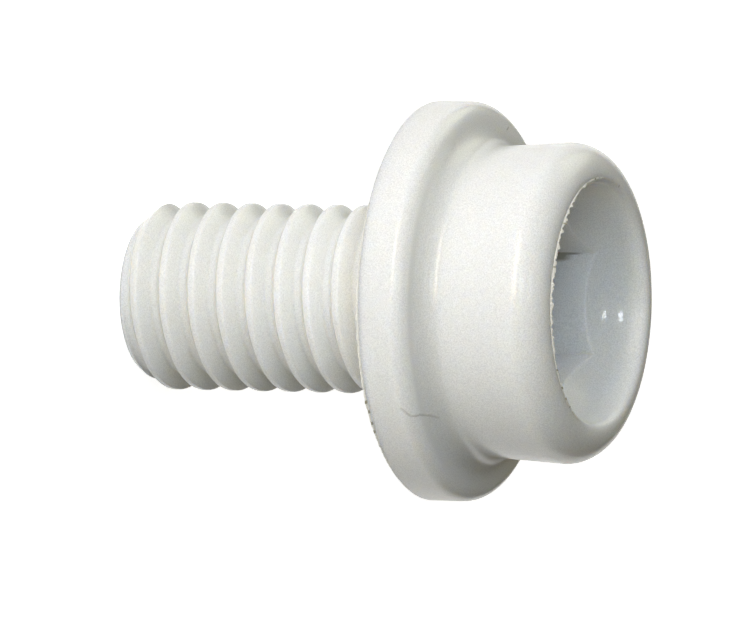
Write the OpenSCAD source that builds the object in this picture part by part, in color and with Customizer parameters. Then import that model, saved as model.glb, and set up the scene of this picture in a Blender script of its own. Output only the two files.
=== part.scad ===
// Plastic machine screw: threaded shank, flange and round head with a hex socket, in one moulding.
// Millimetres. It stands on its tip: the axis is Z and the head is at the top.

/* [Thread] */
// Outside diameter of the thread
thread_d = 6; // [5.7:0.05:6.3]
// Distance from one turn to the next
thread_pitch = 1; // [0.95:0.05:1.2]
// Depth of the groove between two turns
groove_depth = 0.46; // [0.4:0.01:0.55]
// Width of a turn at its crest
crest_w = 0.2; // [0.12:0.01:0.25]
// Length of the shank under the flange
shank_len = 10; // [8:0.5:14]
// Diameter of the flat end of the tip
tip_d = 4.94; // [4.7:0.02:5.2]
// Height of the chamfer at the tip
tip_h = 0.7; // [0.4:0.05:1]
// Angle at which the thread starts
thread_start = 345.5; // [0:0.5:359.5]

/* [Flange] */
// Outside diameter of the flange
flange_d = 12.7; // [12.2:0.1:15]
// Height of the flange's straight edge
flange_edge_h = 1.06; // [0.6:0.02:2]
// Rounding of the flange's upper edge
flange_round = 0.48; // [0.2:0.02:0.6]

/* [Head] */
// Widest diameter of the head, just under the rounded rim
head_d = 10.18; // [9.8:0.02:10.6]
// Diameter of the head where it leaves the flange
head_base_d = 9.88; // [9.4:0.02:10]
// Height of the head above the flange's lower face
head_h = 5.6; // [5.4:0.05:7]
// Rounding of the rim, from the side to the mouth of the socket
rim_round = 1.05; // [0.9:0.05:1.15]
// Fillet between the flange and the head
fillet_r = 0.68; // [0.3:0.02:0.74]

/* [Socket] */
// Rounding of the lip, from the rim's top into the dish
lip_round = 0.25; // [0.1:0.05:0.5]
// Size of the hex across its flats
hex_af = 5.6; // [5:0.05:5.8]
// Turn of the hex about the axis
hex_turn = -0.8; // [-15:0.1:15]
// Depth, below the rim's top, at which the dish meets the middle of a flat
dish_depth = 1.7; // [1.3:0.02:1.8]
// Slope of the dish at the middle of a flat
dish_slope = 31; // [20:1:40]
// Depth of the socket's floor below the rim's top
socket_depth = 3.6; // [3:0.1:4]

/* [Hidden] */
$fn = 96;
thread_r = thread_d / 2;
flange_r = flange_d / 2;
head_r = head_d / 2;
head_base_r = head_base_d / 2;
tip_r = tip_d / 2;
flange_top = shank_len + flange_edge_h + flange_round;
head_top = shank_len + head_h;
rim_z = head_top - rim_round;
lip_r = head_r - rim_round;
lip_z = head_top - lip_round;

// The dish is a round hollow: its section is one arc that leaves the middle of a hex flat at its slope
// and ends where it touches the lip's rounding.
flat_r = hex_af / 2;
flat_z = head_top - dish_depth;
lip_out = lip_r - flat_r;
lip_up = lip_z - flat_z;
arc_far = lip_out^2 + lip_up^2 - lip_round^2;
arc_near = lip_round + lip_up * cos(dish_slope) - lip_out * sin(dish_slope);
arc_r = arc_far / (2 * arc_near);
arc_mid = flat_r - arc_r * sin(dish_slope);
arc_z = flat_z + arc_r * cos(dish_slope);
touch_z = arc_z + (lip_z - arc_z) * arc_r / (arc_r + lip_round);

// How far a section reaches into its neighbour, so that the two join.
join = 0.2;

// The groove is a V with a flat bottom and sides at 30 degrees to a square cut.
// It starts below the tip and fades out just under the flange.
flank_angle = 30;
groove_over = 0.04;
groove_out_r = thread_r + groove_over;
groove_out_w = thread_pitch - crest_w + 2 * groove_over * tan(flank_angle);
groove_root_w = groove_out_w - 2 * (groove_depth + groove_over) * tan(flank_angle);
groove_steps = 36;
groove_gap = 0.08;
fade_turns = 0.25;
fade_least = 0.04;
lead_turns = 0.55;
groove_from = -lead_turns * thread_pitch;
groove_to = shank_len - groove_out_w / 2 - groove_gap;
groove_count = ceil(groove_steps * ((groove_to - groove_from) / thread_pitch + fade_turns));

// How much of the full groove is left at a given height of its middle.
function groove_left(z) =
    max(fade_least, min(1, 1 - (z - groove_to) / (fade_turns * thread_pitch)));

// The four corners of the groove's section at one step, placed round the axis.
function groove_ring(i) =
    let (z = groove_from + i / groove_steps * thread_pitch)
    let (a = thread_start + 360 * i / groove_steps)
    let (left = groove_left(z))
    let (root_r = groove_out_r - left * (groove_depth + groove_over))
    let (out_h = left * groove_out_w / 2)
    let (root_h = left * groove_root_w / 2)
    [for (p = [[groove_out_r, -out_h], [root_r, -root_h], [root_r, root_h], [groove_out_r, out_h]])
        [p[0] * cos(a), p[0] * sin(a), z + p[1]]];

// The two triangles that join corner k of step i to the next step.
function groove_side(i, k) =
    let (a = 4 * i + k)
    let (b = 4 * i + (k + 1) % 4)
    [[b, a, a + 4], [b, a + 4, b + 4]];

// What the thread's groove takes out of the shank.
module thread_groove() {
    points = [for (i = [0 : groove_count]) each groove_ring(i)];
    last = 4 * groove_count;
    ends = [[0, 1, 2], [0, 2, 3], [last + 2, last + 1, last], [last + 3, last + 2, last]];
    sides = [for (i = [0 : groove_count - 1]) for (k = [0 : 3]) each groove_side(i, k)];
    polyhedron(points = points, faces = concat(ends, sides), convexity = 12);
}

// Half of the shank's section, with the chamfered tip.
module shank_section() {
    polygon([[0, 0], [tip_r, 0], [thread_r, tip_h], [thread_r, shank_len], [0, shank_len]]);
}

// Half of the flange's section, with its rounded upper edge.
module flange_section() {
    translate([0, shank_len])
        square([flange_r, flange_edge_h]);
    translate([0, shank_len])
        square([flange_r - flange_round, flange_edge_h + flange_round]);
    translate([flange_r - flange_round, shank_len + flange_edge_h])
        circle(r = flange_round);
}

// Half of the head's section: fillet, side that widens upwards and rounded rim.
module head_section() {
    difference() {
        translate([0, flange_top - join])
            square([head_base_r + fillet_r, fillet_r + join]);
        translate([head_base_r + fillet_r, flange_top + fillet_r])
            circle(r = fillet_r);
    }
    polygon([[0, flange_top - join], [head_base_r, flange_top - join], [head_base_r, flange_top + fillet_r],
        [head_r, rim_z], [head_r - rim_round, head_top], [0, head_top]]);
    translate([head_r - rim_round, rim_z])
        circle(r = rim_round);
}

// Half of the dish's section: the arc, the air between it and the axis, and the air inside the lip's rounding.
module dish_section() {
    intersection() {
        translate([arc_mid, arc_z])
            circle(r = arc_r);
        square([lip_r, touch_z]);
    }
    translate([0, arc_z - arc_r])
        square([max(arc_mid, join), touch_z - arc_z + arc_r]);
    difference() {
        translate([0, touch_z])
            square([lip_r, head_top + join - touch_z]);
        translate([lip_r, lip_z])
            circle(r = lip_round);
    }
}

// What the hex takes out of the head.
module hex_hole() {
    rotate([0, 0, hex_turn])
        translate([0, 0, head_top - socket_depth])
            cylinder(d = hex_af / cos(30), h = socket_depth, $fn = 6);
}

// The whole screw.
module screw() {
    color([0.93, 0.92, 0.88])
        difference() {
            rotate_extrude()
                difference() {
                    union() {
                        shank_section();
                        flange_section();
                        head_section();
                    }
                    dish_section();
                }
            hex_hole();
            thread_groove();
        }
}

screw();
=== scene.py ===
"""Dresses a plastic machine screw: one off-white moulding with a thread, a flange and a socket head.

Sizes are in millimetres and turn into metres when a mesh is made. The axis is Z and the tip is at Z = 0.
"""

import logging
import math
from dataclasses import dataclass, field, replace
from enum import Enum

import bpy
import numpy as np
from mathutils import Matrix, Vector


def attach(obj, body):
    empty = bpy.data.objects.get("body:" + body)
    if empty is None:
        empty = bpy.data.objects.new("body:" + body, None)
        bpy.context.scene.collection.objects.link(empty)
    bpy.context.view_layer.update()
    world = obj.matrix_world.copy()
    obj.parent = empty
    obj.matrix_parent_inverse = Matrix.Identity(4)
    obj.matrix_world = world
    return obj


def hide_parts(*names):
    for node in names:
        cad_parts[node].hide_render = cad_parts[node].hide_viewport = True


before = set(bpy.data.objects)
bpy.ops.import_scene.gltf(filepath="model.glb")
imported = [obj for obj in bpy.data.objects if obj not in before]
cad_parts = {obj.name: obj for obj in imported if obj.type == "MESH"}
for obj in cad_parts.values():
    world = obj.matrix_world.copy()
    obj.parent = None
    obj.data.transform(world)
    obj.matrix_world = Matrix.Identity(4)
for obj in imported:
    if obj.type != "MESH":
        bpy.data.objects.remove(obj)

log = logging.getLogger("screw")

# Metres in a millimetre, and steps to a millimetre when points are welded.
MM = 0.001
WELD_STEPS = 1e5
# Degrees in a turn, and from one corner of the hex to the next.
FULL_TURN = 360.0
SECTOR = 60.0
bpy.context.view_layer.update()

# A colour, point or direction, and what a node's socket can be fed with.
Triple = tuple[float, float, float]
Given = bpy.types.NodeSocket | float | tuple[float, ...] | Vector


class Gives(Enum):
    """What a lamp gives to the surfaces that it reaches."""

    ALL = "light and highlights"
    LIGHT = "light and no highlights"
    HIGHLIGHTS = "highlights and no other light"


@dataclass
class Patch:
    """A grid of points in millimetres, the four-cornered faces between them and the darkening at each point,
    which is painted shade in hollows, a painted shadow by a hex corner, and dark specks.
    """

    points: np.ndarray
    faces: np.ndarray
    marks_and_shade: np.ndarray

    @classmethod
    def ring(cls, radius: np.ndarray, height: np.ndarray, angle: np.ndarray) -> "Patch":
        """Closed band round the axis with no darkening, whose last column is joined to its first.

        Its faces point outwards where the rows run from the socket over the rim and down.

        Args:
            radius: Rows by columns, millimetres from the axis.
            height: Rows by columns, millimetres above the tip.
            angle: One angle for each column, in radians, going once round.

        Returns:
            The band.
        """
        rows, cols = radius.shape
        points = np.stack([radius * np.cos(angle), radius * np.sin(angle), height], axis=-1).reshape(-1, 3)
        here = np.arange(rows * cols).reshape(rows, cols)
        beside = np.roll(here, -1, axis=1)
        faces = np.stack([here[:-1], here[1:], beside[1:], beside[:-1]], axis=-1).reshape(-1, 4)
        return cls(points, faces, np.zeros(len(points)))


def weld(patches: list[Patch]) -> tuple[np.ndarray, np.ndarray, list[list[int]]]:
    """Joins patches where their points meet, to a hundredth of a micrometre, and drops faces with no area.

    Args:
        patches: The patches, in millimetres.

    Returns:
        The joined points, the darkening at each of them (painted shade and dark specks), and the faces with
        three or four corners.
    """
    starts = np.cumsum([0] + [len(p.points) for p in patches[:-1]])
    points = np.concatenate([p.points for p in patches])
    # Painted shade, painted shadow and dark specks of each patch.
    marks_and_shade = np.concatenate([p.marks_and_shade for p in patches])
    faces = np.concatenate([p.faces + start for p, start in zip(patches, starts)])
    steps = np.round(points * WELD_STEPS).astype(np.int64)
    _, first, place = np.unique(steps, axis=0, return_index=True, return_inverse=True)
    faces = place.reshape(-1)[faces]
    doubled = faces == np.roll(faces, -1, axis=1)
    count = doubled.sum(axis=1)
    threes = faces[count == 1][~doubled[count == 1]].reshape(-1, 3)
    return points[first], marks_and_shade[first], faces[count == 0].tolist() + threes.tolist()


def smooth_step(x: np.ndarray, low: float, high: float) -> np.ndarray:
    """Rises smoothly from 0 to 1.

    Args:
        x: Where to take it.
        low: Where it leaves 0.
        high: Where it reaches 1.

    Returns:
        Its value at each x.
    """
    t = np.clip((x - low) / (high - low), 0.0, 1.0)
    return t * t * (3.0 - 2.0 * t)


def off_whole(x: np.ndarray, whole: float) -> np.ndarray:
    """Signed distance to the nearest multiple of a number.

    Args:
        x: Where to take it.
        whole: The number.

    Returns:
        From minus half to plus half of the number.
    """
    return (x + whole / 2) % whole - whole / 2


@dataclass
class Thread:
    """The shank: a right-hand thread with a chamfered tip.

    Corners of the groove are averaged over crest_soft turns each way at the crest and root_soft at the root,
    and soft_between says where one passes to the other. The groove fades out within fade_turns, from the
    height fade_from.
    """

    radius: float = 3.0
    pitch: float = 1.0
    depth: float = 0.46
    crest: float = 0.2
    flank_angle: float = 30.0
    length: float = 10.0
    tip_radius: float = 2.47
    tip_height: float = 0.7
    crest_height: float = -0.01
    fade_from: float = 9.497
    fade_turns: float = 0.25
    crest_soft: float = 0.032
    root_soft: float = 0.05
    soft_between: tuple[float, float] = (0.15, 0.3)
    soft_samples: int = 11
    # Painted shade in the thread's roots.
    root_shade: float = 0.06
    turns_below: int = 2
    half_rows: tuple[float, ...] = (
        0.04, 0.065, 0.085, 0.105, 0.13, 0.165, 0.22, 0.28, 0.32, 0.35, 0.38, 0.41, 0.45)
    end_rings: tuple[float, ...] = (1.0, 0.66, 0.33, 0.0)

    def groove(self, phase: np.ndarray) -> np.ndarray:
        """Depth of the groove as a share of its full depth.

        It is 0 on the crest, rises in a straight line down the flank and is 1 on the root. Averaging it over
        a short stretch rounds the crest's corners a little and the root's corners more.

        Args:
            phase: Turns from the middle of the nearest crest, along the axis.

        Returns:
            The share, from 0 to 1.
        """
        flank = self.depth * math.tan(math.radians(self.flank_angle)) / self.pitch
        deep = smooth_step(np.abs(phase), *self.soft_between)
        soft = self.crest_soft + (self.root_soft - self.crest_soft) * deep
        steps = np.linspace(-1.0, 1.0, self.soft_samples).reshape((-1,) + (1,) * phase.ndim)
        near = np.abs(off_whole(phase + soft * steps, 1.0))
        return np.clip((near - self.crest / 2) / flank, 0.0, 1.0).mean(axis=0)

    def radius_at(self, height: np.ndarray, angle: np.ndarray) -> np.ndarray:
        """Radius of the shank: the crest's radius less the groove, and inside the tip's cone.

        Args:
            height: Millimetres above the tip.
            angle: Radians round the axis, of the same shape or one that fits it.

        Returns:
            Millimetres from the axis.
        """
        phase = off_whole(height / self.pitch - angle / (2 * math.pi) - self.crest_height, 1.0)
        middle = height - phase * self.pitch + 0.5 * self.pitch * np.sign(phase)
        left = np.clip(1.0 - (middle - self.fade_from) / (self.fade_turns * self.pitch), 0.0, 1.0)
        cone = self.tip_radius + (self.radius - self.tip_radius) * height / self.tip_height
        return np.minimum(self.radius - self.depth * left * self.groove(phase), cone)

    def patches(self, angle: np.ndarray) -> list[Patch]:
        """The threaded surface and the flat end of the tip.

        Each row of the thread's grid keeps one phase and climbs a pitch in a turn, so crests and roots run
        along rows. Rows that leave the shank are held at its ends, where the weld closes them. A row's last
        column joins the first column of the row one pitch higher. The roots get a little painted shade.

        Args:
            angle: The columns' angles.

        Returns:
            The thread and the end.
        """
        half = np.array(self.half_rows)
        phases = np.concatenate([-half[::-1], [0.0], half, [0.5]])
        turns = np.arange(-self.turns_below, math.ceil(self.length / self.pitch) + 1)
        rows = (turns[:, None] + phases[None, :]).reshape(-1) + self.crest_height
        climb = self.pitch * (rows[:, None] + angle[None, :] / (2 * math.pi))
        height = np.clip(climb, 0.0, self.length)
        radius = self.radius_at(height, angle[None, :])
        points = np.stack([radius * np.cos(angle), radius * np.sin(angle), height], axis=-1).reshape(-1, 3)
        count, cols = height.shape
        here = np.arange(count * cols).reshape(count, cols)
        beside = np.concatenate([here[:, 1:], np.roll(here[:, :1], -len(phases), axis=0)], axis=1)
        last = count - len(phases) - 1
        faces = np.stack([here[:-1], beside[:-1], beside[1:], here[1:]], axis=-1)[:last].reshape(-1, 4)
        # Painted shade in the roots, deeper where the groove is deeper.
        low = np.clip((self.radius - radius) / self.depth, 0.0, 1.0) * (height > self.tip_height)
        thread = Patch(points, faces, self.root_shade * low.reshape(-1))
        share = np.array(self.end_rings)[:, None]
        rim = self.radius_at(np.zeros_like(angle), angle)[None, :]
        end = Patch.ring(share * rim, np.zeros((len(share), cols)), angle)
        return [thread, end]


@dataclass
class Flange:
    """The flange under the head, with a rounded upper edge and a sharp lower one."""

    radius: float = 6.35
    edge_height: float = 1.06
    round_radius: float = 0.48
    lower_radius: float = 0.025
    flat_rows: int = 3
    round_rows: int = 12
    side_rows: int = 3
    lower_rows: int = 4

    def profile(self, base: float, from_radius: float) -> np.ndarray:
        """Section from the end of the head's fillet, over the rounded edge, to the lower corner.

        Args:
            base: Height of the flange's lower face.
            from_radius: Radius at which the upper face starts.

        Returns:
            Points of radius and height.
        """
        inner = self.radius - self.round_radius
        shoulder = base + self.edge_height
        across = np.linspace(from_radius, inner, self.flat_rows + 1)[1:]
        flat = np.stack([across, np.full(self.flat_rows, shoulder + self.round_radius)], axis=1)
        turn = np.radians(np.linspace(0, 90, self.round_rows + 1))[1:]
        edge = np.stack([inner + self.round_radius * np.sin(turn),
                         shoulder + self.round_radius * np.cos(turn)], axis=1)
        low = self.lower_radius
        down = np.linspace(shoulder, base + low, self.side_rows + 1)[1:]
        side = np.stack([np.full(self.side_rows, self.radius), down], axis=1)
        turn = np.radians(np.linspace(0, 90, self.lower_rows + 1))[1:]
        corner = np.stack([self.radius - low + low * np.cos(turn), base + low - low * np.sin(turn)], axis=1)
        return np.concatenate([flat, edge, side, corner])


@dataclass(frozen=True)
class HeadRows:
    """How many rows of points each part of the head has, and where the floor's rows lie."""

    floor: tuple[float, ...] = (0.0, 0.45, 0.85)
    floor_round: int = 5
    wall: int = 6
    edge: int = 4
    dish: int = 19
    lip: int = 9
    rim: int = 18
    side: int = 6
    fillet: int = 10


@dataclass
class Head:
    """The round head: hex socket, dish, rounded rim, side and fillet.

    The shadowed corner, and how far the painted shadow beside it reaches before and past it, are in degrees.
    The shadow's top is a depth below the rim.
    """

    radius: float = 5.09
    base_radius: float = 4.94
    height: float = 5.6
    rim_round: float = 1.05
    lip_round: float = 0.25
    fillet: float = 0.68
    hex_flats: float = 5.6
    hex_turn: float = -0.8
    hex_corner: float = 0.05
    dish_depth: float = 1.7
    dish_slope: float = 31.0
    socket_depth: float = 3.6
    floor_round: float = 0.12
    break_edge: float = 0.06
    # A painted shadow on the wall beside one hex corner: the corner's angle, its darkness, width, reach past
    # the corner and top.
    shadowed_corner: float = 119.2
    darkening: float = 0.62
    shadow_width: float = 6.5
    shadow_past: float = 0.2
    shadow_top: float = 2.1
    rows: HeadRows = HeadRows()

    def hex_radius(self, angle: np.ndarray) -> np.ndarray:
        """Distance from the axis to the wall of the hex socket.

        Between corners it is half the size across flats over the cosine of the angle from the flat's middle.
        Near a corner it is the far crossing of the ray with the corner's small circle.

        Args:
            angle: Radians round the axis.

        Returns:
            Millimetres from the axis.
        """
        flat = self.hex_flats / 2
        sector = math.radians(SECTOR)
        off_corner = off_whole(angle - math.radians(self.hex_turn), sector)
        wall = flat / np.cos(sector / 2 - np.abs(off_corner))
        centre = (flat - self.hex_corner) / math.cos(sector / 2)
        reach = self.hex_corner**2 - (centre * np.sin(off_corner)) ** 2
        arc = centre * np.cos(off_corner) + np.sqrt(np.maximum(reach, 0.0))
        return np.where(reach > 0, np.minimum(wall, arc), wall)

    def dish(self, top: float) -> tuple[float, float, float]:
        """The dish's section, one arc.

        It leaves the middle of a flat at the dish's slope and touches the lip's rounding.

        Args:
            top: Height of the rim's top.

        Returns:
            The arc's radius, and the distance from the axis and the height of its centre.
        """
        flat, small = self.hex_flats / 2, self.lip_round
        slope = math.radians(self.dish_slope)
        out = self.radius - self.rim_round - flat
        up = self.dish_depth - small
        near = small + up * math.cos(slope) - out * math.sin(slope)
        arc = (out**2 + up**2 - small**2) / (2 * near)
        return arc, flat - arc * math.sin(slope), top - self.dish_depth + arc * math.cos(slope)

    def socket(self, angle: np.ndarray, top: float) -> Patch:
        """Floor, wall, dish and lip of the socket, from the axis to the rim's top.

        Each column is a section: the floor, a small fillet, the wall, an edge broken by a quadratic curve,
        the dish and the lip's rounding.

        Args:
            angle: The columns' angles.
            top: Height of the rim's top.

        Returns:
            The socket's surface.
        """
        arc, middle, centre = self.dish(top)
        lip = self.radius - self.rim_round
        wall = self.hex_radius(angle)[None, :]
        floor = top - self.socket_depth
        small, cut = self.floor_round, self.break_edge
        share = np.array(self.rows.floor)[:, None]
        turn = np.radians(np.linspace(0, 90, self.rows.floor_round))[:, None]
        up = np.linspace(0, 1, self.rows.wall + 1)[1:, None]
        t = np.linspace(0, 1, self.rows.edge + 1)[1:, None]
        edge = centre - np.sqrt(arc**2 - (wall - middle) ** 2)
        start = np.arcsin((wall + cut - middle) / arc)
        touch = math.asin((lip - middle) / (arc + self.lip_round))
        polar = start + np.linspace(0, 1, self.rows.dish + 1)[1:, None] * (touch - start)
        lean = np.linspace(touch, 0, self.rows.lip + 1)[1:, None] + 0 * wall
        broken = centre - arc * np.cos(start)
        radius = [share * (wall - small), wall - small + small * np.sin(turn),
                  np.repeat(wall, len(up), axis=0), wall + cut * t**2,
                  middle + arc * np.sin(polar), lip - self.lip_round * np.sin(lean)]
        height = [np.full((len(share), len(angle)), floor), floor + small - small * np.cos(turn) + 0 * wall,
                  floor + small + up * (edge - cut - floor - small),
                  (1 - t) ** 2 * (edge - cut) + 2 * t * (1 - t) * edge + t**2 * broken,
                  centre - arc * np.cos(polar), top - self.lip_round + self.lip_round * np.cos(lean)]
        patch = Patch.ring(np.concatenate(radius), np.concatenate(height), angle)
        # A painted shadow beside one hex corner darkens the wall.
        patch.marks_and_shade[:] = self.corner_shadow(angle, np.concatenate(height), top).reshape(-1)
        return patch

    def corner_shadow(self, angle: np.ndarray, height: np.ndarray, top: float) -> np.ndarray:
        """Painted shadow on the wall beside one corner of the hex: a wedge that narrows to nothing on its
        way up.

        Args:
            angle: The columns' angles.
            height: Heights, rows by columns.
            top: Height of the rim's top.

        Returns:
            Painted shadow, rows by columns.
        """
        below = (top - self.shadow_top - height) / (self.socket_depth - self.shadow_top)
        on_wall = height > top - self.socket_depth + self.floor_round
        width = self.shadow_width * np.sqrt(np.clip(below, 0.0, 1.0))
        before = off_whole(self.shadowed_corner - np.degrees(angle), FULL_TURN)[None, :]
        return self.darkening * ((before > -self.shadow_past) & (before < width) & on_wall)

    def profile(self, base: float, flange_top: float) -> np.ndarray:
        """Section from the rim's top over its rounding and down the side to the end of the fillet.

        Args:
            base: Height of the flange's lower face.
            flange_top: Height of the flange's upper face.

        Returns:
            Points of radius and height.
        """
        top = base + self.height
        inner = self.radius - self.rim_round
        turn = np.radians(np.linspace(0, 90, self.rows.rim))
        rim = np.stack([inner + self.rim_round * np.sin(turn),
                        top - self.rim_round + self.rim_round * np.cos(turn)], axis=1)
        foot = flange_top + self.fillet
        side = np.linspace(rim[-1], (self.base_radius, foot), self.rows.side + 1)[1:]
        turn = np.radians(np.linspace(180, 270, self.rows.fillet + 1))[1:]
        fillet = np.stack([self.base_radius + self.fillet + self.fillet * np.cos(turn),
                           foot + self.fillet * np.sin(turn)], axis=1)
        return np.concatenate([rim, side, fillet])


@dataclass(frozen=True)
class Flash:
    """A thin ragged fin of plastic, left round an edge where two parts of the mould met.

    Its section is a small wedge with its root inside the moulding. Where its reach is below zero the fin
    stays inside, so it comes and goes along the edge.

    Attributes:
        radius: Radius of the edge.
        height: Height of the edge.
        lean: Which way the fin points, in degrees up from outwards.
        reach: How far it stands out where it is weakest and where it is strongest.
        longest_at: Angle round the axis at which it is strongest, in degrees.
        seed: Start of its random numbers.
        fading: How fast it weakens away from its strongest point.
        grain: Size of its teeth, in degrees.
        least_grain: Least size of its teeth, in columns.
        trimmed: Percentiles of the smoothed random numbers that become 0 and 1.
        even_share: Share of its length that is not ragged.
        half_width: Half of its thickness at the root.
        shoulder: Share of the length, and of the half width there, at which its sides bend.
        sink: How deep its root lies inside the moulding.
        columns: How many columns it has.
        teeth_shade: How much painted shade its ragged teeth get where it is strongest.
        specks: Angles of its dark specks, in degrees.
        speck_width: Width of a speck, in degrees.
        speck_dark: How dark a speck is.
    """

    radius: float
    height: float
    lean: float
    reach: tuple[float, float]
    longest_at: float
    seed: int
    fading: int = 2
    grain: float = 0.6
    least_grain: int = 3
    trimmed: tuple[float, float] = (2, 98)
    even_share: float = 0.35
    half_width: float = 0.04
    shoulder: tuple[float, float] = (0.6, 0.8)
    sink: float = 0.12
    columns: int = 1080
    # Painted shade on the ragged teeth.
    teeth_shade: float = 0.0
    specks: tuple[float, ...] = ()
    speck_width: float = 0.9
    speck_dark: float = 0.8

    def ragged(self, angle: np.ndarray) -> np.ndarray:
        """Uneven values from 0 to 1 round the edge, smooth over about a degree.

        Args:
            angle: The columns' angles, in radians.

        Returns:
            One value for each column.
        """
        rng = np.random.default_rng(self.seed)
        width = max(self.least_grain, int(round(self.grain * len(angle) / FULL_TURN)))
        spread = np.hanning(2 * width + 1)
        loose = rng.random(len(angle))
        closed = np.concatenate([loose[-width:], loose, loose[:width]])
        smooth = np.convolve(closed, spread / spread.sum(), "valid")
        low, high = np.percentile(smooth, self.trimmed)
        return np.clip((smooth - low) / (high - low), 0.0, 1.0)

    def patch(self) -> Patch:
        """The fin as a closed ring: along its upper side, over its tip and back along its lower side.

        Returns:
            The fin, with its dark specks and the painted shade on its teeth, away from the root.
        """
        angle = np.linspace(0.0, 2 * math.pi, self.columns, endpoint=False)
        rough = self.ragged(angle)
        strong = (0.5 + 0.5 * np.cos(angle - math.radians(self.longest_at))) ** self.fading
        least, most = self.reach
        length = least + (most - least) * strong * (self.even_share + (1.0 - self.even_share) * rough)
        lean = math.radians(self.lean)
        part, narrow = self.shoulder
        root = np.full_like(length, -self.sink)
        along = np.stack([root, part * length, length, part * length, root, root])
        across = self.half_width * np.array([1.0, narrow, 0.0, -narrow, -1.0, 1.0])[:, None]
        fin = Patch.ring(self.radius + along * math.cos(lean) - across * math.sin(lean),
                         self.height + along * math.sin(lean) + across * math.cos(lean), angle)
        off = off_whole(np.degrees(angle)[:, None] - np.array(self.specks)[None, :], FULL_TURN)
        near = np.abs(off) < self.speck_width / 2
        # Dark specks, and painted shade on the ragged teeth that grows where the fin is strongest.
        dark = np.maximum(self.speck_dark * near.any(axis=1), self.teeth_shade * strong * rough)
        outside = np.array([0.0, 1.0, 1.0, 1.0, 0.0, 0.0])[:, None]
        fin.marks_and_shade[:] = (dark[None, :] * outside).reshape(-1)
        return fin


class Graph:
    """Adds nodes to a material and links them."""

    def __init__(self, tree: bpy.types.NodeTree) -> None:
        """Starts with the object's own coordinates.

        Args:
            tree: The material's node tree.
        """
        self.nodes, self.links = tree.nodes, tree.links
        self.place = self.nodes.new("ShaderNodeTexCoord").outputs["Object"]

    def feed(self, socket: bpy.types.NodeSocket, given: Given) -> None:
        """Links a socket to another one, or sets its value.

        Args:
            socket: The socket to feed.
            given: The other socket, or the value.
        """
        if isinstance(given, bpy.types.NodeSocket):
            self.links.new(given, socket)
        else:
            socket.default_value = given

    def noise(self, scale: float, detail: float) -> bpy.types.NodeSocket:
        """A noise on the object's own coordinates.

        Args:
            scale: How fine it is.
            detail: How many finer layers it has.

        Returns:
            Values about 0.5.
        """
        node = self.nodes.new("ShaderNodeTexNoise")
        node.inputs["Scale"].default_value = scale
        node.inputs["Detail"].default_value = detail
        self.links.new(self.place, node.inputs["Vector"])
        return node.outputs["Fac"]

    def vector(self, kind: str, first: Given, second: Given = (0, 0, 0),
               scale: Given | None = None) -> bpy.types.Node:
        """An operation on vectors.

        Args:
            kind: Blender's name of the operation.
            first: First vector.
            second: Second vector, where the operation has one.
            scale: The factor, where the operation has one.

        Returns:
            The node, with the outputs Vector and Value.
        """
        node = self.nodes.new("ShaderNodeVectorMath")
        node.operation = kind
        for socket, given in zip(node.inputs, (first, second)):
            self.feed(socket, given)
        if scale is not None:
            self.feed(node.inputs["Scale"], scale)
        return node

    def value(self, kind: str, *given: Given, clamp: bool = True) -> bpy.types.NodeSocket:
        """An operation on numbers.

        Args:
            kind: Blender's name of the operation.
            given: Its numbers, in order.
            clamp: Whether the result is held between 0 and 1.

        Returns:
            The result.
        """
        node = self.nodes.new("ShaderNodeMath")
        node.operation = kind
        node.use_clamp = clamp
        for socket, number in zip(node.inputs, given):
            self.feed(socket, number)
        return node.outputs["Value"]

    def ramp(self, given: Given, span: tuple[float, float], to: tuple[float, float]) -> bpy.types.NodeSocket:
        """A straight run from one span of values to another, held at its ends.

        Args:
            given: The value.
            span: Where the run starts and ends.
            to: What it gives there.

        Returns:
            The result.
        """
        node = self.nodes.new("ShaderNodeMapRange")
        names = ("Value", "From Min", "From Max", "To Min", "To Max")
        for name, number in zip(names, (given, *span, *to)):
            self.feed(node.inputs[name], number)
        return node.outputs["Result"]

    def mix(self, kind: str, share: Given, first: Given, second: Given) -> bpy.types.NodeSocket:
        """A blend of two values.

        Args:
            kind: FLOAT for numbers or RGBA for colours.
            share: How much of the second one.
            first: First value.
            second: Second value.

        Returns:
            The blend.
        """
        node = self.nodes.new("ShaderNodeMix")
        node.data_type = kind
        for name, given in (("Factor", share), ("A", first), ("B", second)):
            self.feed(node.inputs[name], given)
        return node.outputs["Result"]


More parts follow.
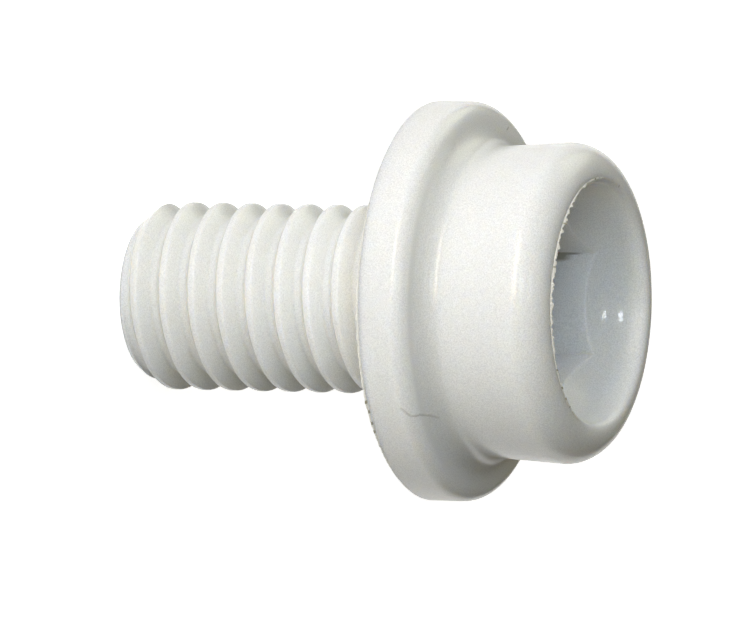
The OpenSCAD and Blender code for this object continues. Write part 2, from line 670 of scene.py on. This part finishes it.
@dataclass(frozen=True)
class Nylon:
    """Satin off-white nylon: slightly see-through, with a faint grain, a hair mark and two smoother spots.

    Each noise is a scale and a detail. A smoother spot is fully smooth within its core and ends at its size,
    both in millimetres from its middle. The hair mark and the speck are lines of points in millimetres. The
    scatter's depth and the heights of the bumps are in metres.
    """

    name: str = "nylon_off_white"
    colour: Triple = (0.864, 0.868, 0.856)
    colour_deep: Triple = (0.838, 0.843, 0.82)
    drift_noise: tuple[float, float] = (350.0, 2.0)
    # Olive colour of the painted shade and shadow, and of the dark specks.
    marks_and_shade_colour: Triple = (0.15, 0.125, 0.04)
    roughness: tuple[float, float] = (0.2, 0.27)
    rough_noise: tuple[float, float] = (900.0, 3.0)
    noise_span: tuple[float, float] = (0.3, 0.7)
    glints: tuple[Triple, ...] = ((0.434, 3.318, 14.375), (0.436, 3.593, 14.812))
    glint_core: float = 0.12
    glint_size: float = 0.2
    polished: float = 0.05
    ior: float = 1.53
    scatter: float = 1.0
    scatter_tint: Triple = (1.0, 0.9, 0.72)
    scatter_depth: float = 0.0007
    grain_noise: tuple[float, float] = (12000.0, 2.0)
    grain_height: float = 0.000006
    bump_strength: float = 0.5
    sparkle_noise: tuple[float, float] = (26000.0, 1.0)
    sparkle: float = 0.11
    hair: tuple[Triple, ...] = (
        (3.337, -5.392, 11.145), (3.556, -5.156, 11.333), (3.562, -4.985, 11.464),
        (3.525, -4.82, 11.528), (3.551, -4.12, 11.566), (3.629, -3.707, 11.697))
    speck: tuple[Triple, ...] = ((-5.47, 1.78, 11.54), (-5.53, 1.88, 11.54))
    hair_width: float = 0.055
    hair_height: float = 0.00005
    hair_dark: float = 0.3

    def ridge(self, graph: Graph) -> bpy.types.NodeSocket:
        """The hair mark and the speck, drawn by their distance from short straight runs.

        Args:
            graph: The material's nodes.

        Returns:
            1 on the marks' middle lines, falling to 0 at their edges.
        """
        away: Given = 1.0
        ends = [pair for line in (self.hair, self.speck) for pair in zip(line[:-1], line[1:])]
        for start, end in ends:
            run = (Vector(end) - Vector(start)) * MM
            off = graph.vector("SUBTRACT", graph.place, Vector(start) * MM).outputs["Vector"]
            along = graph.vector("DOT_PRODUCT", off, run / run.length_squared).outputs["Value"]
            reach = graph.vector("SCALE", run, scale=graph.value("ADD", along, 0.0)).outputs["Vector"]
            gap = graph.vector("LENGTH", graph.vector("SUBTRACT", off, reach).outputs["Vector"])
            away = graph.value("MINIMUM", away, gap.outputs["Value"])
        return graph.ramp(away, (0.0, self.hair_width * MM), (1.0, 0.0))

    def tone(self, graph: Graph, ridge: bpy.types.NodeSocket) -> bpy.types.NodeSocket:
        """Colour: a slow drift between two whites, a fine sparkle, and darkening where the mesh or a mark
        has it: painted shade, a painted shadow, dark specks and the hair mark.

        Args:
            graph: The material's nodes.
            ridge: The marks.

        Returns:
            The colour.
        """
        drift = graph.mix("RGBA", graph.noise(*self.drift_noise), (*self.colour, 1), (*self.colour_deep, 1))
        bright = (1.0 - self.sparkle, 1.0 + self.sparkle)
        fine = graph.ramp(graph.noise(*self.sparkle_noise), self.noise_span, bright)
        grained = graph.vector("SCALE", drift, scale=fine).outputs["Vector"]
        # Painted shade, painted shadow and dark specks, from the mesh.
        darkening = graph.nodes.new("ShaderNodeAttribute")
        darkening.attribute_name = "marks_and_shade"
        share = graph.value("MAXIMUM", darkening.outputs["Fac"], graph.value("MULTIPLY", ridge, self.hair_dark))
        return graph.mix("RGBA", share, grained, (*self.marks_and_shade_colour, 1))

    def gloss(self, graph: Graph) -> bpy.types.NodeSocket:
        """Roughness: uneven over the whole surface, and low on the smoother spots.

        Args:
            graph: The material's nodes.

        Returns:
            The roughness.
        """
        spot: Given = 1.0
        for point in self.glints:
            gap = graph.vector("DISTANCE", graph.place, Vector(point) * MM)
            spot = graph.value("MINIMUM", spot, gap.outputs["Value"])
        uneven = graph.ramp(graph.noise(*self.rough_noise), self.noise_span, self.roughness)
        polish = graph.ramp(spot, (self.glint_core * MM, self.glint_size * MM), (1.0, 0.0))
        return graph.mix("FLOAT", polish, uneven, self.polished)

    def relief(self, graph: Graph, ridge: bpy.types.NodeSocket) -> bpy.types.NodeSocket:
        """Bumps: the fine grain, with the marks standing out of it.

        Args:
            graph: The material's nodes.
            ridge: The marks.

        Returns:
            The normal.
        """
        grain = graph.noise(*self.grain_noise)
        height = graph.value("MULTIPLY_ADD", ridge, self.hair_height / self.grain_height, grain, clamp=False)
        bump = graph.nodes.new("ShaderNodeBump")
        bump.inputs["Strength"].default_value = self.bump_strength
        bump.inputs["Distance"].default_value = self.grain_height
        graph.feed(bump.inputs["Height"], height)
        return bump.outputs["Normal"]

    def material(self) -> bpy.types.Material:
        """Builds the node material.

        Returns:
            The material.
        """
        mat = bpy.data.materials.new(self.name)
        mat.use_nodes = True
        graph = Graph(mat.node_tree)
        shader = graph.nodes["Principled BSDF"]
        shader.inputs["Subsurface Weight"].default_value = self.scatter
        shader.inputs["Subsurface Radius"].default_value = self.scatter_tint
        shader.inputs["Subsurface Scale"].default_value = self.scatter_depth
        shader.inputs["IOR"].default_value = self.ior
        ridge = self.ridge(graph)
        graph.feed(shader.inputs["Base Color"], self.tone(graph, ridge))
        graph.feed(shader.inputs["Roughness"], self.gloss(graph))
        graph.feed(shader.inputs["Normal"], self.relief(graph, ridge))
        return mat


@dataclass
class Screw:
    """The whole moulding as one closed mesh, and the flash on its edges as another."""

    thread: Thread = field(default_factory=Thread)
    flange: Flange = field(default_factory=Flange)
    head: Head = field(default_factory=Head)
    mouth_flash: Flash = Flash(
        radius=3.98, height=15.592, lean=104.0, reach=(-0.03, 0.12), longest_at=250.0, seed=3, teeth_shade=0.3,
        specks=(301.1, 311.1, 318.1, 323.8, 230.5, 252.8, 198.1, 187.9, 159.4, 148.1))
    flange_flash: Flash = Flash(
        radius=6.345, height=10.005, lean=-35.0, reach=(-0.03, 0.08), longest_at=287.0, seed=5, fading=8,
        specks=(299.6, 302.9, 307.0, 310.0))
    finish: Nylon = Nylon()
    flash_colour: Triple = (0.92, 0.88, 0.78)
    sharp_angle: float = 40.0
    # Painted shade in the valley between the flange and the head: its darkness, reach and inset.
    valley_shade: float = 0.1
    valley_reach: float = 0.5
    valley_inset: float = 0.25
    bearing_rings: int = 6
    close_columns: tuple[float, ...] = (0.0, 0.35, 0.7, 1.1, 1.5, 2.2, 3.2)
    even_from: float = 5.2
    even_columns: int = 12

    def columns(self) -> np.ndarray:
        """Angles of the columns: close together at the hex's corners and even between them.

        Returns:
            Radians, going once round.
        """
        even = np.linspace(self.even_from, SECTOR / 2, self.even_columns)
        half = np.concatenate([np.array(self.close_columns), even])
        sector = np.concatenate([half, SECTOR - half[-2:0:-1]])
        turn = (np.arange(0.0, FULL_TURN, SECTOR)[:, None] + sector[None, :]).reshape(-1)
        return np.radians(turn + self.head.hex_turn)

    def patches(self) -> list[Patch]:
        """All surfaces of the moulding, with a little painted shade in the valley between the flange and the
        head.

        Returns:
            The surfaces, in order from the socket to the tip.
        """
        angle = self.columns()
        base = self.thread.length
        flange_top = base + self.flange.edge_height + self.flange.round_radius
        upper = self.head.profile(base, flange_top)
        outline = np.concatenate([upper, self.flange.profile(base, upper[-1, 0])])
        ones = np.ones((1, len(angle)))
        outside = Patch.ring(outline[:, :1] * ones, outline[:, 1:] * ones, angle)
        # Painted shade, fading out from the valley between the flange and the head.
        inset = self.valley_inset * self.head.fillet
        off = np.hypot(outline[:, :1] - self.head.base_radius - inset, outline[:, 1:] - flange_top - inset)
        outside.marks_and_shade[:] = (self.valley_shade * np.exp(-((off / self.valley_reach) ** 2)) * ones).reshape(-1)
        root = self.thread.radius_at(np.full_like(angle, base), angle)[None, :]
        share = np.linspace(0, 1, self.bearing_rings)[:, None]
        bearing = Patch.ring((1 - share) * outline[-1, 0] + share * root, base + 0 * share * ones, angle)
        socket = self.head.socket(angle, base + self.head.height)
        return [socket, outside, bearing, *self.thread.patches(angle)]

    def piece(self, name: str, patches: list[Patch], finish: Nylon) -> bpy.types.Object:
        """Makes one mesh object, in metres, with its material.

        Args:
            name: The object's name.
            patches: Its surfaces, in millimetres.
            finish: What it is made of.

        Returns:
            The object, which stands for the CAD solid.
        """
        points, marks_and_shade, faces = weld(patches)
        mesh = bpy.data.meshes.new(name)
        mesh.from_pydata((points * MM).tolist(), [], faces)
        mesh.polygons.foreach_set("use_smooth", np.ones(len(mesh.polygons), bool))
        mesh.set_sharp_from_angle(angle=math.radians(self.sharp_angle))
        # Painted shade, painted shadow and dark specks, read by the material.
        mesh.attributes.new("marks_and_shade", "FLOAT", "POINT").data.foreach_set("value", marks_and_shade.astype(np.float32))
        mesh.materials.append(finish.material())
        mesh.update()
        obj = bpy.data.objects.new(name, mesh)
        bpy.context.scene.collection.objects.link(obj)
        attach(obj, "root")
        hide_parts("screw")
        log.info("piece %s: %d faces", name, len(faces))
        return obj

    def build(self) -> None:
        """Makes the moulding and the flash on its edges.

        The flash is thinner than the depth to which light scatters in the plastic, so its finish has no
        scatter.
        """
        self.piece("screw_moulding", self.patches(), self.finish)
        thin = replace(self.finish, name="nylon_flash", scatter=0.0, colour=self.flash_colour)
        self.piece("screw_flash", [self.mouth_flash.patch(), self.flange_flash.patch()], thin)


@dataclass(frozen=True)
class SoftBox:
    """A rectangular lamp that shines at the screw, or another way where it says so.

    It stands in the direction towards, at its distance from the studio's aim. Its sizes are in metres.
    """

    name: str
    towards: Triple
    distance: float
    width: float
    height: float
    level: float
    colour: Triple = (1.0, 1.0, 1.0)
    shines: Triple | None = None
    gives: Gives = Gives.ALL

    def build(self, aim: Vector) -> bpy.types.Object:
        """Places the lamp so that a white surface facing it gets the stated level.

        Args:
            aim: The studio's aim, in metres.

        Returns:
            The lamp.
        """
        lamp = bpy.data.lights.new(self.name, "AREA")
        lamp.shape = "RECTANGLE"
        lamp.size = self.width
        lamp.size_y = self.height
        lamp.energy = self.level * math.pi * math.pi * self.distance**2
        lamp.color = self.colour
        obj = bpy.data.objects.new(self.name, lamp)
        way = Vector(self.towards).normalized()
        back = -Vector(self.shines) if self.shines else way
        obj.location = aim + way * self.distance
        obj.rotation_euler = back.to_track_quat("Z", "Y").to_euler()
        obj.visible_camera = False
        obj.visible_glossy = self.gives is not Gives.LIGHT
        obj.visible_diffuse = self.gives is not Gives.HIGHLIGHTS
        bpy.context.scene.collection.objects.link(obj)
        return obj


@dataclass
class Studio:
    """Pale floor, soft lamps and an even sky. The aim is in millimetres, and the floor's size in metres."""

    floor_size: float = 2.0
    floor_colour: Triple = (0.8, 0.8, 0.8)
    floor_glow: float = 0.82
    sky: Triple = (1.0, 0.91, 0.74)
    sky_level: float = 0.125
    aim: Triple = (0.0, 0.0, 9.0)
    lamps: tuple[SoftBox, ...] = (
        SoftBox("window", (-0.378, -0.786, 0.49), 0.30, 0.20, 0.07, 0.272, (0.60, 0.76, 1.0),
                gives=Gives.LIGHT),
        SoftBox("side", (-0.42, -0.905, 0.06), 0.35, 0.30, 0.05, 0.39, (1.0, 0.89, 0.75)),
        SoftBox("front", (0.0, -0.96, 0.27), 0.35, 0.20, 0.16, 0.226, (0.96, 1.0, 0.92), gives=Gives.LIGHT),
        SoftBox("top", (-0.99, 0.0, 0.13), 0.35, 0.20, 0.08, 0.066, (0.45, 0.68, 1.0)),
        SoftBox("rear", (-0.654, 0.654, 0.38), 0.35, 0.20, 0.20, 0.158, (0.98, 1.0, 0.76)),
        SoftBox("head", (-0.9, -0.15, 0.41), 0.35, 0.20, 0.12, 0.135, (1.0, 0.87, 0.72), gives=Gives.LIGHT),
        SoftBox("wash", (-0.236, -0.472, 0.85), 0.0424, 0.02, 0.02, 1.25, (0.90, 0.86, 1.0),
                shines=(-0.45, -0.8, -0.4)),
        SoftBox("glint", (-0.19, -0.862, 0.467), 0.35, 0.05, 0.045, 0.075, (0.92, 0.96, 1.0),
                gives=Gives.HIGHLIGHTS),
        SoftBox("glint_high", (-0.152, -0.518, 0.851), 0.35, 0.04, 0.04, 0.045, (0.92, 0.96, 1.0),
                gives=Gives.HIGHLIGHTS),
    )

    def floor(self) -> bpy.types.Object:
        """A plain white floor that glows only for the camera and in reflections, and keeps the shadow.

        Returns:
            The floor.
        """
        half = self.floor_size / 2
        mesh = bpy.data.meshes.new("floor")
        corners = np.array([(-half, -half, 0), (half, -half, 0), (half, half, 0), (-half, half, 0)])
        mesh.from_pydata(corners.tolist(), [], [(0, 1, 2, 3)])
        mat = bpy.data.materials.new("floor_white")
        mat.use_nodes = True
        nodes, links = mat.node_tree.nodes, mat.node_tree.links
        shader = nodes["Principled BSDF"]
        shader.inputs["Base Color"].default_value = (*self.floor_colour, 1)
        shader.inputs["Roughness"].default_value = 1.0
        shader.inputs["Specular IOR Level"].default_value = 0.0
        shader.inputs["Emission Color"].default_value = (1, 1, 1, 1)
        path = nodes.new("ShaderNodeLightPath")
        seen = nodes.new("ShaderNodeMath")
        seen.operation = "MAXIMUM"
        links.new(path.outputs["Is Camera Ray"], seen.inputs[0])
        links.new(path.outputs["Is Glossy Ray"], seen.inputs[1])
        glow = nodes.new("ShaderNodeMath")
        glow.operation = "MULTIPLY"
        glow.inputs[1].default_value = self.floor_glow
        links.new(seen.outputs["Value"], glow.inputs[0])
        links.new(glow.outputs["Value"], shader.inputs["Emission Strength"])
        mesh.materials.append(mat)
        obj = bpy.data.objects.new("floor", mesh)
        bpy.context.scene.collection.objects.link(obj)
        return obj

    def build(self) -> None:
        """Makes the floor, the sky and the lamps."""
        self.floor()
        world = bpy.data.worlds.new("studio")
        world.use_nodes = True
        back = world.node_tree.nodes["Background"]
        back.inputs["Color"].default_value = (*self.sky, 1)
        back.inputs["Strength"].default_value = self.sky_level
        bpy.context.scene.world = world
        aim = Vector(self.aim) * MM
        for lamp in self.lamps:
            lamp.build(aim)
            log.info("lamp %s", lamp.name)


@dataclass(frozen=True)
class Camera:
    """A long lens that looks down on the standing screw, turned on its side as the photo is.

    Its target and distance are in millimetres, its angles in degrees, and the nearest and farthest it sees
    in metres.
    """

    target: Triple = (0.483, -0.797, 8.181)
    distance: float = 452.55
    azimuth: float = -0.80
    elevation: float = 23.76
    roll: float = 91.14
    lens: float = 683.8
    sensor: float = 36.0
    nearest: float = 0.01
    farthest: float = 10.0

    def build(self) -> bpy.types.Object:
        """Places the camera on a ball round its target and turns it about its own axis.

        Returns:
            The camera.
        """
        az, el, roll = (math.radians(v) for v in (self.azimuth, self.elevation, self.roll))
        back = Vector((math.cos(el) * math.sin(az), -math.cos(el) * math.cos(az), math.sin(el)))
        level = Vector((0, 0, 1)).cross(back).normalized()
        rise = back.cross(level)
        right = level * math.cos(roll) + rise * math.sin(roll)
        up = rise * math.cos(roll) - level * math.sin(roll)
        data = bpy.data.cameras.new("camera")
        data.sensor_fit = "HORIZONTAL"
        data.sensor_width = self.sensor
        data.lens = self.lens
        data.clip_start = self.nearest
        data.clip_end = self.farthest
        obj = bpy.data.objects.new("camera", data)
        turn = Matrix((right, up, back)).transposed().to_4x4()
        obj.matrix_world = Matrix.Translation((Vector(self.target) + back * self.distance) * MM) @ turn
        bpy.context.scene.collection.objects.link(obj)
        bpy.context.scene.camera = obj
        return obj


def main() -> None:
    logging.basicConfig(level=logging.INFO, format="%(name)s: %(message)s")
    Screw().build()
    Studio().build()
    Camera().build()
    bpy.context.scene.view_settings.view_transform = "Standard"
    bpy.context.view_layer.update()


if __name__ == "__main__":
    main()
